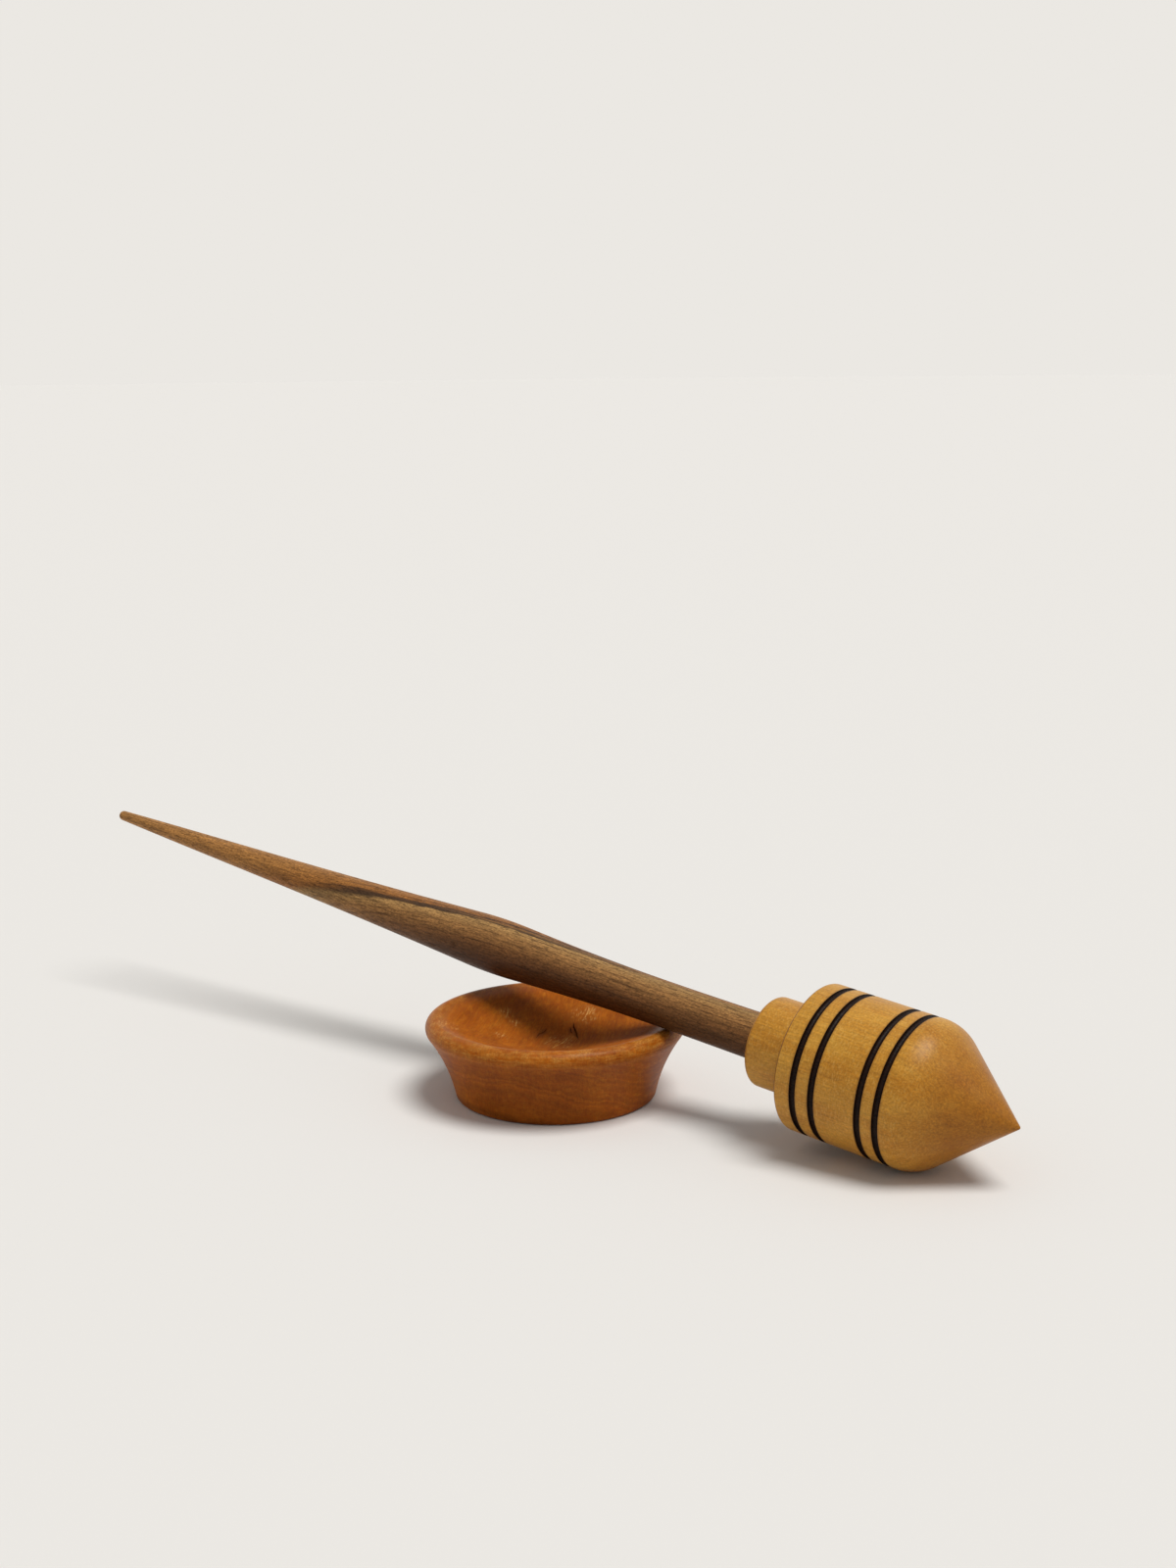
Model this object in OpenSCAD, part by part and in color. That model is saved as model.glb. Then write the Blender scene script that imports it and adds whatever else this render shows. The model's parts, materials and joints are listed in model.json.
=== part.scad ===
// Support spindle leaning on its bowl: a turned whorl glued to a tapered
// shaft, at rest on the table and on the rim of the dish that it spins in.
// Millimetres. The origin is the centre of the bowl's foot on the table, +Z is
// up, and the spindle's plan runs along X with its point towards +X.

/* [Bowl] */
// Height of the rim's crest above the table
bowl_h = 20.5; // [16:0.1:26]
// Diameter across the widest part of the rim
bowl_d = 65.4; // [58:0.2:80]
// Radius of the rounded rim
rim_r = 2.5; // [1.6:0.1:3.4]
// Diameter of the foot at its widest
foot_d = 50.8; // [44:0.2:54]
// Rounding of the foot's lower edge
foot_r = 1.3; // [0.8:0.1:3]
// Radius of the hollow that the outer wall follows
cove_r = 41.5; // [32:0.5:60]
// Depth of the dish below the rim's crest
dish_depth = 8.5; // [5:0.1:11]
// Radius of the dish's rounded floor
dish_floor_r = 30; // [10:0.5:40]

/* [Whorl] */
// Diameter of the whorl's straight body
whorl_d = 36.0; // [32:0.2:42]
// Length from the point to where the cone's side would reach the full diameter
cone_len = 21.9; // [16:0.1:26]
// Rounding between the cone and the straight body
shoulder_r = 10.5; // [4:0.1:14]
// Rounding of the point that spins in the dish
point_r = 0.5; // [0.3:0.1:1.2]
// Length from the point to the body's back face
whorl_len = 54.2; // [52:0.1:66]
// Rounding of the body's back edge
back_edge_r = 0.7; // [0.3:0.1:1.5]
// Diameter of the collar behind the body
collar_d = 22.2; // [19:0.1:26]
// Length of the collar
collar_len = 13.1; // [8:0.1:20]
// Rounding of the collar's back edge
collar_edge_r = 1.2; // [0.4:0.1:2]

/* [Burnt lines] */
// Distance of each burnt line's middle from the point
burnt_at = [27.0, 31.7, 44.0, 49.0]; // [25.5:0.1:51]
// Width of the groove that a line is burnt in
burnt_w = 1.7; // [1:0.1:2.2]
// Depth of that groove
burnt_depth = 1.1; // [0.7:0.1:1.6]
// Thickness of the charred layer at the groove's floor
char_floor = 0.3; // [0.15:0.05:0.5]
// Thickness of the charred layer at the groove's edges
char_edge = 0.1; // [0.05:0.01:0.2]

/* [Shaft] */
// Length from the collar to the shaft's free end
shaft_len = 231.2; // [210:0.1:270]
// Diameter where the shaft leaves the collar
neck_d = 11.6; // [9.6:0.1:14]
// Diameter at the swelling
belly_d = 14.5; // [13:0.1:18]
// Distance of the swelling from the collar
belly_at = 84.8; // [70:0.2:110]
// Radius of the curve over the swelling
belly_curve_r = 150; // [100:5:260]
// Length of the curve on each side of the swelling
belly_half = 8.0; // [5:0.5:12]
// Diameter of the free end
end_d = 2.8; // [2.4:0.1:5]
// How far the lower curve keeps to the neck's diameter
neck_run = 32; // [20:1:40]
// How far the lower curve keeps to the swelling's slope
rise_run = 28; // [16:1:36]
// How far the upper curve keeps to the swelling's slope
fall_run = 58; // [35:1:65]
// How far the upper curve keeps to the end's slope
end_run = 42; // [25:1:55]
// Slope of the side at the free end
end_slope = 0.043; // [0.02:0.001:0.06]
// Diameter of the tenon that is glued into the whorl
tenon_d = 8.5; // [6:0.1:9.4]
// Length of the tenon
tenon_len = 28; // [16:0.5:40]
// Room for glue around the tenon
glue_gap = 0.05; // [0.02:0.01:0.1]
// Room at the bottom of the socket
socket_room = 0.5; // [0.2:0.1:2]

/* [Rest] */
// Distance from the point to where the shaft lies over the rim
rest_at = 96.7; // [80:0.1:125]
// Sideways distance of the spindle from the bowl's centre
rest_side = 7.4; // [0:0.1:16]
// Room between the shaft and the rim that it leans on
rest_gap = 0.15; // [0.1:0.05:0.5]

/* [Hidden] */
$fn = 96;
bowl_colour = [0.72, 0.42, 0.17];
whorl_colour = [0.83, 0.64, 0.34];
shaft_colour = [0.42, 0.30, 0.20];
burnt_colour = [0.07, 0.05, 0.045];

// points along an arc, and along a curve with two handles
function arc(centre, r, from, to, steps) =
    [for (i = [0:steps]) let (a = from + (to - from) * i / steps) centre + r * [cos(a), sin(a)]];
function curve(a, b, c, d, steps) =
    [for (i = [0:steps]) let (t = i / steps, u = 1 - t)
        u * u * u * a + 3 * u * u * t * b + 3 * u * t * t * c + t * t * t * d];
function swap(points) = [for (p = points) [p[1], p[0]]];

// the bowl's outline: foot, hollow wall and rim are arcs that touch
rim_c = [bowl_d / 2 - rim_r, bowl_h - rim_r];
foot_c = [foot_d / 2 - foot_r, foot_r];
foot_to_rim = rim_c - foot_c;
foot_rim_gap = norm(foot_to_rim);
foot_rim_dir = foot_to_rim / foot_rim_gap;
cove_along = ((cove_r + foot_r) ^ 2 - (cove_r + rim_r) ^ 2 + foot_rim_gap ^ 2) / (2 * foot_rim_gap);
cove_out = sqrt((cove_r + foot_r) ^ 2 - cove_along ^ 2);
cove_c = foot_c + cove_along * foot_rim_dir + cove_out * [foot_rim_dir[1], -foot_rim_dir[0]];
wall_to_foot = atan2(foot_c[1] - cove_c[1], foot_c[0] - cove_c[0]);
wall_to_rim = atan2(rim_c[1] - cove_c[1], rim_c[0] - cove_c[0]);
// the dish's straight slope touches the rim's curve and the rounded floor
dish_floor_c = [0, bowl_h - dish_depth + dish_floor_r];
rim_to_floor = dish_floor_c - rim_c;
dish_slope = atan2(rim_to_floor[1], rim_to_floor[0]) - 90
    - acos((rim_r + dish_floor_r) / norm(rim_to_floor));

// the whorl's outline, with radius first and distance from the point second
whorl_r = whorl_d / 2;
cone_angle = atan2(whorl_r, cone_len);
shoulder_at = cone_len + shoulder_r * tan(cone_angle / 2);
shoulder_c = [whorl_r - shoulder_r, shoulder_at];
point_c = [0, point_r / sin(cone_angle)];
point_low = point_c[1] - point_r;
collar_end = whorl_len + collar_len;

// the shaft's outline, with distance from the point first and radius second
spindle_len = collar_end + shaft_len;
belly_t = collar_end + belly_at;
belly_slope = belly_half / belly_curve_r;
belly_side_r = belly_d / 2 - belly_half ^ 2 / (2 * belly_curve_r);
rise_end = [belly_t - belly_half, belly_side_r];
fall_start = [belly_t + belly_half, belly_side_r];
end_start = [spindle_len - end_d / 2, end_d / 2];
neck = [collar_end, neck_d / 2];
rise = curve(neck, neck + [neck_run, -0.007 * neck_run],
    rise_end - rise_run * [1, belly_slope], rise_end, 18);
crown = [for (i = [-5:6]) let (x = belly_half * i / 6) [belly_t + x, belly_d / 2 - x ^ 2 / (2 * belly_curve_r)]];
fall = curve(fall_start, fall_start + fall_run * [1, -belly_slope],
    end_start - end_run * [1, -end_slope], end_start, 24);
shaft_side = concat(rise, crown, [for (i = [1:len(fall) - 1]) fall[i]]);
socket_r = tenon_d / 2 + glue_gap;
socket_low = collar_end - tenon_len - socket_room;

// the lean: the shoulder is on the table and the shaft lies over the rim
rest_r = lookup(rest_at, shaft_side);
rim_reach = rest_r + rest_gap + rim_r;
lean_run = rest_at - shoulder_at;
lean_rise = bowl_h - rim_r - shoulder_r;
lean_lift = rim_reach - (whorl_r - shoulder_r);
lean = asin(lean_rise / norm([lean_run, lean_lift])) + atan2(lean_lift, lean_run);
spindle_dir = [-cos(lean), 0, sin(lean)];
rest_point = [sqrt(rim_c[0] ^ 2 - rest_side ^ 2) + rim_reach * sin(lean), rest_side,
    bowl_h - rim_r + rim_reach * cos(lean)];
spindle_point = rest_point - rest_at * spindle_dir;
echo(lean = lean, spindle_point = spindle_point, spindle_dir = spindle_dir);
echo(spindle_len = spindle_len, dish_slope = dish_slope, rest_r = rest_r, shoulder_at = shoulder_at);

// a spindle piece is drawn with its point at the origin and laid where it rests
module lay_spindle() {
    translate(spindle_point) rotate([0, lean - 90, 0]) children();
}

module bowl() {
    color(bowl_colour) rotate_extrude() polygon(concat(
        [[0, 0]],
        arc(foot_c, foot_r, -90, wall_to_foot - 180, 6),
        arc(cove_c, cove_r, wall_to_foot, wall_to_rim, 12),
        arc(rim_c, rim_r, wall_to_rim - 180, 90 + dish_slope, 16),
        arc(dish_floor_c, dish_floor_r, dish_slope - 90, -90, 8)));
}

module burnt_groove(at) {
    translate([0, 0, at - burnt_w / 2]) difference() {
        cylinder(h = burnt_w, r = whorl_r + 1);
        translate([0, 0, -1]) cylinder(h = burnt_w + 2, r = whorl_r - burnt_depth);
    }
}

module whorl() {
    color(whorl_colour) lay_spindle() difference() {
        rotate_extrude() polygon(concat(
            arc(point_c, point_r, -90, -cone_angle, 5),
            arc(shoulder_c, shoulder_r, -cone_angle, 0, 10),
            arc([whorl_r - back_edge_r, whorl_len - back_edge_r], back_edge_r, 0, 90, 4),
            [[collar_d / 2, whorl_len]],
            arc([collar_d / 2 - collar_edge_r, collar_end - collar_edge_r], collar_edge_r, 0, 90, 5),
            [[0, collar_end]]));
        for (at = burnt_at) burnt_groove(at);
        translate([0, 0, socket_low]) cylinder(h = collar_end - socket_low + 1, r = socket_r);
    }
}

module shaft() {
    color(shaft_colour) lay_spindle() rotate_extrude() polygon(concat(
        [[0, collar_end - tenon_len], [tenon_d / 2, collar_end - tenon_len], [tenon_d / 2, collar_end]],
        swap(shaft_side),
        arc([0, end_start[0]], end_d / 2, 10, 90, 5)));
}

// one charred lining: it fills its groove and is hollowed along the middle
module burnt_line(at) {
    hollow_r = burnt_w / 2 - char_edge;
    hollow_c = [whorl_r - burnt_depth + char_floor + hollow_r, at];
    open_a = acos((whorl_r - hollow_c[0]) / hollow_r);
    rotate_extrude() polygon(concat(
        [[whorl_r, at - burnt_w / 2], [whorl_r - burnt_depth, at - burnt_w / 2],
            [whorl_r - burnt_depth, at + burnt_w / 2], [whorl_r, at + burnt_w / 2]],
        arc(hollow_c, hollow_r, open_a, 360 - open_a, 10)));
}

module burnt_lines() {
    color(burnt_colour) lay_spindle() for (at = burnt_at) burnt_line(at);
}

bowl();
whorl();
shaft();
burnt_lines();
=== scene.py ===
# %% [markdown]
# # A support spindle leaning on its bowl
# A hand spinner stands the spindle's point in the bowl's dish and twirls the shaft. The object is
# three pieces of turned wood: an orange fruitwood bowl, a golden whorl with four lines burnt into
# it, and a walnut shaft glued into the whorl. The frame gives their true sizes and places as plain
# solids. This lesson turns each piece again as a clean mesh and gives every wood its own grain.

# %% Load the frame
import json
import math

import bpy
from mathutils import Matrix, Vector


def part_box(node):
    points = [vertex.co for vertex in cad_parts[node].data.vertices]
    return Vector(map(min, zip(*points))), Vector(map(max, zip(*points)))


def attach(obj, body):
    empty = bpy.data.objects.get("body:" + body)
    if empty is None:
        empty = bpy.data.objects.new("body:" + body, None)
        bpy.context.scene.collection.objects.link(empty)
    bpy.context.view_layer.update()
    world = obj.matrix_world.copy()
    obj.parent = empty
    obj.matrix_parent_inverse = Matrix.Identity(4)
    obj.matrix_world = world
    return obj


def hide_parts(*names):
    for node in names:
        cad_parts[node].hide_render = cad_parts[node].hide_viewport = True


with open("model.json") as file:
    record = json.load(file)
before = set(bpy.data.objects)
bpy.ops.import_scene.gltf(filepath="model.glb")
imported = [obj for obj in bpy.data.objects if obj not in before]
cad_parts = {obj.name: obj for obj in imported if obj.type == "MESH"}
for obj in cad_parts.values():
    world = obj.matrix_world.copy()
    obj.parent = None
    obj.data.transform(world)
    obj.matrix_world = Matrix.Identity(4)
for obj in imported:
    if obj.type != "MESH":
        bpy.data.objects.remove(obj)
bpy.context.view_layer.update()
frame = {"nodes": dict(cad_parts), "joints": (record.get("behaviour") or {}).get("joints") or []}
print("frame nodes:", sorted(frame["nodes"]))

# %% [markdown]
# ## Where the spindle lies
# The spindle leans: its shoulder is on the table and its shaft is over the bowl's rim. The frame's
# one joint is the spin about the spindle's own axis, so its position is the point and its axis is
# the way from the point to the free end. A piece is easiest to turn upright on the world's Z axis,
# so the pieces are made there, from sizes in millimetres, and laid down along that axis at the end.

# %% The spindle's own axis
MM = 0.001
spin = frame["joints"][0]
point = Vector(spin["pos_m"])
lean = math.asin(Vector(spin["axis"]).normalized().z)
lay_turn = (0.0, lean - math.pi / 2, 0.0)
print(f"the spindle leans {math.degrees(lean):.2f} degrees")

# %% [markdown]
# ## The camera
# The camera was found by matching the turned outlines in the photograph: it stands a little above
# the table, to the right of the bowl, and looks past the whorl towards the shaft's free end. The
# roll is the small tilt of a hand-held camera. The lens follows from a focal length in pixels of
# the 1200 by 1600 picture, because Blender's 36 mm sensor spans the longer side.

# %% Stand the camera
PICTURE_H = 1600
FOCAL_PX = 2348
SENSOR_MM = 36.0
EYE_MM = (349.6, -433.9, 189.2)
YAW = math.radians(37.95)
PITCH = math.radians(-11.13)
ROLL = math.radians(-0.55)

camera_data = bpy.data.cameras.new("camera")
camera_data.sensor_width = SENSOR_MM
camera_data.lens = FOCAL_PX * SENSOR_MM / PICTURE_H
camera = bpy.data.objects.new("camera", camera_data)
bpy.context.scene.collection.objects.link(camera)
aim = (
    Matrix.Rotation(YAW, 4, "Z")
    @ Matrix.Rotation(math.pi / 2 + PITCH, 4, "X")
    @ Matrix.Rotation(ROLL, 4, "Z")
)
camera.matrix_world = Matrix.Translation(Vector(EYE_MM) * MM) @ aim
bpy.context.scene.camera = camera
print(f"the lens is {camera_data.lens:.1f} mm")

# %% [markdown]
# ## A lathe made of two tools
# Every piece here came off a lathe, so each is one outline spun about an axis. The outline is drawn
# the way it is drawn by hand: one vertex is extruded from place to place. Spin then sweeps it all
# the way round, doubles are merged so that the seam and the poles close, and the normals are made
# to point outwards. Round stretches of an outline are arcs, and long free ones are curves with two
# handles, so that only the turning points are listed.


# %% Arcs and curves for outlines
def arc(centre, r, start, end, steps):
    """Points along an arc, with its angles in degrees."""
    angles = [math.radians(start + (end - start) * i / steps) for i in range(steps + 1)]
    return [(centre[0] + r * math.cos(a), centre[1] + r * math.sin(a)) for a in angles]


def curve(a, b, c, d, steps):
    """Points along a curve from a to d that leaves towards b and arrives from c."""
    out = []
    for i in range(steps + 1):
        t = i / steps
        u = 1 - t
        weights = (u**3, 3 * u * u * t, 3 * u * t * t, t**3)
        out.append(tuple(sum(w * p[k] for w, p in zip(weights, (a, b, c, d))) for k in (0, 1)))
    return out


# %% The lathe
def draw_line(points):
    """Extrudes one vertex along points in mm, and stays in edit mode with all of it selected."""
    bpy.ops.object.select_all(action="DESELECT")
    bpy.ops.mesh.primitive_circle_add(vertices=3, radius=MM)
    bpy.ops.object.mode_set(mode="EDIT")
    bpy.ops.mesh.select_all(action="SELECT")
    bpy.ops.mesh.merge(type="CENTER")
    bpy.ops.transform.translate(value=Vector(points[0]) * MM)
    for here, there in zip(points, points[1:]):
        step = (Vector(there) - Vector(here)) * MM
        bpy.ops.mesh.extrude_region_move(TRANSFORM_OT_translate={"value": step})
    bpy.ops.mesh.select_all(action="SELECT")
    return bpy.context.object


def close_mesh(piece):
    """Merges doubles, turns the faces outwards and goes back to object mode."""
    bpy.ops.mesh.select_all(action="SELECT")
    bpy.ops.mesh.remove_doubles(threshold=0.001 * MM)
    bpy.ops.mesh.normals_make_consistent(inside=False)
    bpy.ops.object.mode_set(mode="OBJECT")
    return piece


def turn_piece(name, outline, sides=144):
    """Spins an outline of (radius, height) points in mm about the Z axis."""
    piece = draw_line([(r, 0, z) for r, z in outline])
    piece.name = name
    bpy.ops.mesh.spin(steps=sides, angle=math.tau, center=(0, 0, 0), axis=(0, 0, 1))
    return close_mesh(piece)


# %% Laying down and smoothing
def pick(piece):
    """Selects one piece alone and makes it the active one."""
    bpy.ops.object.select_all(action="DESELECT")
    piece.select_set(True)
    bpy.context.view_layer.objects.active = piece


def lay_down(piece):
    """Moves an upright piece onto the spindle's axis and keeps that place in its mesh."""
    pick(piece)
    piece.location = point
    piece.rotation_euler = lay_turn
    bpy.ops.object.transform_apply(location=True, rotation=True, scale=True)


def smooth(piece, sharp_over=32):
    """Shades a piece smooth, with edges over an angle in degrees kept sharp."""
    pick(piece)
    bpy.ops.object.shade_smooth_by_angle(angle=math.radians(sharp_over))
    print(f"{piece.name}: {len(piece.data.polygons)} faces")


# %% [markdown]
# ## The bowl
# The bowl is one block: a flat foot, a hollow flared wall, a rounded rim and a dish that slopes to
# a rounded floor. Foot, wall and rim are three arcs that touch, so the wall's centre is worked out
# from the other two. The dish's slope is the straight line that touches both the rim's arc and the
# floor's arc. The height and width are read from the frame.

# %% Sizes of the bowl in mm
bowl_low, bowl_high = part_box("bowl")
bowl_h = bowl_high.z / MM
bowl_d = (bowl_high.y - bowl_low.y) / MM
rim_r = 2.5
foot_d = 50.8
foot_r = 1.3
cove_r = 41.5
dish_depth = 8.5
dish_floor_r = 30.0
print(f"the bowl is {bowl_d:.1f} mm wide and {bowl_h:.1f} mm high")

# %% Arcs of the bowl
rim_c = Vector((bowl_d / 2 - rim_r, bowl_h - rim_r))
foot_c = Vector((foot_d / 2 - foot_r, foot_r))
gap = (rim_c - foot_c).length
foot_to_rim = (rim_c - foot_c) / gap
cove_along = ((cove_r + foot_r) ** 2 - (cove_r + rim_r) ** 2 + gap**2) / (2 * gap)
cove_out = math.sqrt((cove_r + foot_r) ** 2 - cove_along**2)
cove_c = foot_c + cove_along * foot_to_rim + cove_out * Vector((foot_to_rim.y, -foot_to_rim.x))
wall_low = math.degrees(math.atan2(foot_c.y - cove_c.y, foot_c.x - cove_c.x)) % 360
wall_high = math.degrees(math.atan2(rim_c.y - cove_c.y, rim_c.x - cove_c.x)) % 360
dish_floor_c = Vector((0, bowl_h - dish_depth + dish_floor_r))
rim_to_floor = dish_floor_c - rim_c
rim_turn = math.atan2(rim_to_floor.y, rim_to_floor.x)
touch_turn = math.acos((rim_r + dish_floor_r) / rim_to_floor.length)
slope = math.degrees(rim_turn - touch_turn) - 90
print(f"the dish slopes {slope:.1f} degrees")

# %% Turn the bowl
bowl = turn_piece(
    "turned_bowl",
    [(0, 0)]
    + arc(foot_c, foot_r, -90, wall_low - 180, 10)
    + arc(cove_c, cove_r, wall_low, wall_high, 24)
    + arc(rim_c, rim_r, wall_high - 180, 90 + slope, 30)
    + arc(dish_floor_c, dish_floor_r, slope - 90, -90, 12),
)
print(f"{bowl.name} is turned")

# %% [markdown]
# ## Drying checks in the dish
# Wood shrinks as it dries and opens along its fibres. The photograph shows a forked check near the
# middle of the dish and a finer one to its left. They are real cuts, so they could be pulled down
# vertex by vertex, but a boolean is cleaner: a thin blade is drawn along each check, pointed at both
# ends, and taken out of the bowl.


# %% A blade for a check
def dish_height(r):
    """Height of the dish's surface in mm at a radius in mm."""
    touch = dish_floor_r * math.sin(math.radians(slope))
    if r < touch:
        return dish_floor_c.y - math.sqrt(dish_floor_r**2 - r * r)
    edge = dish_floor_c.y - dish_floor_r * math.cos(math.radians(slope))
    return edge + (r - touch) * math.tan(math.radians(slope))


def check_blade(path, width, depth):
    """A blade along plan points in mm, pointed at its ends, that reaches a depth below the dish."""
    above = 1.5
    line = [(x, y, dish_height(math.hypot(x, y)) + above) for x, y in path]
    blade = draw_line(line)
    run = (Vector(path[-1]) - Vector(path[0])).normalized()
    across = Vector((-run.y, run.x, 0)) * width * MM
    bpy.ops.mesh.extrude_region_move(TRANSFORM_OT_translate={"value": across})
    for tip in (line[0], line[-1]):
        bpy.ops.mesh.select_all(action="DESELECT")
        bpy.ops.object.mode_set(mode="OBJECT")
        pair = (Vector(tip) * MM, Vector(tip) * MM + across)
        for vertex in blade.data.vertices:
            vertex.select = min((vertex.co - corner).length for corner in pair) < 0.02 * MM
        bpy.ops.object.mode_set(mode="EDIT")
        bpy.ops.mesh.merge(type="CENTER")
    bpy.ops.mesh.select_all(action="SELECT")
    down = (0, 0, -(above + depth) * MM)
    bpy.ops.mesh.extrude_region_move(TRANSFORM_OT_translate={"value": down})
    return close_mesh(blade)


# %% Cut the checks
FORK = [(-4.0, 12.2), (-2.9, 10.7), (-1.2, 9.5), (0.6, 7.7), (2.4, 6.2)]
SIDE_BRANCH = [(-3.6, 10.5), (-2.4, 9.1), (-1.0, 8.1)]
LEFT_CHECK = [(-8.2, 6.8), (-7.7, 5.0), (-7.9, 3.0), (-6.8, -0.4)]
CHECKS = (
    {"path": FORK, "width": 0.42, "depth": 0.6},
    {"path": SIDE_BRANCH, "width": 0.26, "depth": 0.4},
    {"path": LEFT_CHECK, "width": 0.24, "depth": 0.4},
)
for check in CHECKS:
    blade = check_blade(**check)
    bpy.context.view_layer.objects.active = bowl
    cut = bowl.modifiers.new("check", "BOOLEAN")
    cut.operation = "DIFFERENCE"
    cut.solver = "EXACT"
    cut.object = blade
    bpy.ops.object.modifier_apply(modifier=cut.name)
    bpy.data.objects.remove(blade)
smooth(bowl)

# %% [markdown]
# ## The whorl
# The whorl carries the spindle's weight close to its point. Its outline runs from the rounded point
# up the cone, over a soft shoulder, along the straight body with its four grooves, and down to a
# narrower collar. The grooves are part of the outline, so they are true cuts and not a pattern, and
# the socket for the shaft is turned in from the back. Its widest measure is read from the frame.

# %% Sizes of the whorl in mm
whorl_low, whorl_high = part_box("whorl")
whorl_r = (whorl_high.y - whorl_low.y) / 2 / MM
cone_len = 21.9
shoulder_r = 10.5
point_r = 0.5
whorl_len = 54.2
back_edge_r = 0.7
collar_r = 11.1
collar_len = 13.1
collar_edge_r = 1.2
burnt_at = (27.0, 31.7, 44.0, 49.0)
burnt_w = 1.7
burnt_depth = 1.1
tenon_r = 4.25
tenon_len = 28.0
glue_gap = 0.05
socket_room = 0.5
collar_end = whorl_len + collar_len
socket_r = tenon_r + glue_gap
socket_low = collar_end - tenon_len - socket_room
print(f"the whorl is {2 * whorl_r:.1f} mm wide and {collar_end:.1f} mm long")


# %% Turn the whorl
def groove(at):
    """The four corners of the groove for a burnt line whose middle is this far from the point."""
    low, high = at - burnt_w / 2, at + burnt_w / 2
    bottom = whorl_r - burnt_depth
    return [(whorl_r, low), (bottom, low), (bottom, high), (whorl_r, high)]


cone_angle = math.degrees(math.atan2(whorl_r, cone_len))
shoulder_at = cone_len + shoulder_r * math.tan(math.radians(cone_angle / 2))
point_c = (0, point_r / math.sin(math.radians(cone_angle)))
whorl_line = arc(point_c, point_r, -90, -cone_angle, 8)
whorl_line += arc((whorl_r - shoulder_r, shoulder_at), shoulder_r, -cone_angle, 0, 24)
for at in burnt_at:
    whorl_line += groove(at)
whorl_line += arc((whorl_r - back_edge_r, whorl_len - back_edge_r), back_edge_r, 0, 90, 8)
whorl_line += [(collar_r, whorl_len)]
whorl_line += arc((collar_r - collar_edge_r, collar_end - collar_edge_r), collar_edge_r, 0, 90, 8)
whorl_line += [(socket_r, collar_end), (socket_r, socket_low), (0, socket_low)]
whorl = turn_piece("turned_whorl", whorl_line)
lay_down(whorl)
smooth(whorl)

# %% [markdown]
# ## The burnt lines
# A wire held against the spinning whorl burns a black line into each groove. The charred skin is
# thin, hollow along its middle and a little thicker at the floor. It is turned as four small rings
# that are joined, so that the char has its own mesh and its own black finish.

# %% Turn the charred rings
char_floor = 0.3
char_edge = 0.1
hollow_r = burnt_w / 2 - char_edge
hollow_at = whorl_r - burnt_depth + char_floor + hollow_r
open_angle = math.degrees(math.acos((whorl_r - hollow_at) / hollow_r))
rings = []
for at in burnt_at:
    ring = groove(at) + arc((hollow_at, at), hollow_r, open_angle, 360 - open_angle, 14)
    rings.append(turn_piece("charred_ring", ring + ring[:1]))
burnt = rings[0]
pick(burnt)
for ring in rings:
    ring.select_set(True)
bpy.ops.object.join()
burnt.name = "charred_lines"
lay_down(burnt)
smooth(burnt)

# %% [markdown]
# ## The shaft
# The shaft leaves the collar as thick as a finger, swells a third of the way up, where the yarn's
# cop is held, and then tapers to a blunt end that the fingers flick. Two handled curves and a short
# crown between them give that swelling with no kink. The hidden tenon fits the whorl's socket.

# %% Sizes of the shaft in mm
shaft_len = 231.2
neck_r = 5.8
belly_r = 7.25
belly_at = 84.8
belly_curve_r = 150.0
belly_half = 8.0
end_r = 1.4
neck_run = 32
neck_slope = -0.007
rise_run = 28
fall_run = 58
end_run = 42
end_slope = 0.043
CROWN_STEPS = 8
tip = collar_end + shaft_len
belly_t = collar_end + belly_at
belly_slope = belly_half / belly_curve_r
belly_side = belly_r - belly_half**2 / (2 * belly_curve_r)
print(f"the spindle is {tip:.1f} mm long, with its swelling {belly_t:.1f} mm from the point")

# %% Turn the shaft
rise_end = (belly_side, belly_t - belly_half)
fall_start = (belly_side, belly_t + belly_half)
end_start = (end_r, tip - end_r)
rise = curve(
    (neck_r, collar_end),
    (neck_r + neck_slope * neck_run, collar_end + neck_run),
    (rise_end[0] - belly_slope * rise_run, rise_end[1] - rise_run),
    rise_end,
    36,
)
crown = []
for i in range(1 - CROWN_STEPS, CROWN_STEPS + 1):
    away = belly_half * i / CROWN_STEPS
    crown.append((belly_r - away**2 / (2 * belly_curve_r), belly_t + away))
fall = curve(
    fall_start,
    (fall_start[0] - belly_slope * fall_run, fall_start[1] + fall_run),
    (end_start[0] + end_slope * end_run, end_start[1] - end_run),
    end_start,
    60,
)
tenon_low = collar_end - tenon_len
shaft_line = [(0, tenon_low), (tenon_r, tenon_low), (tenon_r, collar_end)]
shaft_line += rise + crown + fall[1:] + arc((0, end_start[1]), end_r, 9, 90, 9)
shaft = turn_piece("turned_shaft", shaft_line, 96)
lay_down(shaft)
smooth(shaft)

# %% [markdown]
# ## How the finishes are made
# A wood's look is its pattern in depth: fibres, pores and growth rings run through the block, and
# the lathe only shows them. So every pattern reads Object coordinates, and a Mapping node turns
# them to millimetres along the piece's own grain. One small function adds a node with its settings
# and links, and another spreads noise whose patches have a real size, long along the fibres and
# narrow across them. Colours are written as sRGB hex and turned to linear.


# %% Colours and nodes
def linear(hex_colour):
    """An sRGB hex colour as linear red, green, blue and alpha."""
    parts = [int(hex_colour[i : i + 2], 16) / 255 for i in (1, 3, 5)]
    return [c / 12.92 if c <= 0.04045 else ((c + 0.055) / 1.055) ** 2.4 for c in parts] + [1.0]


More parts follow.
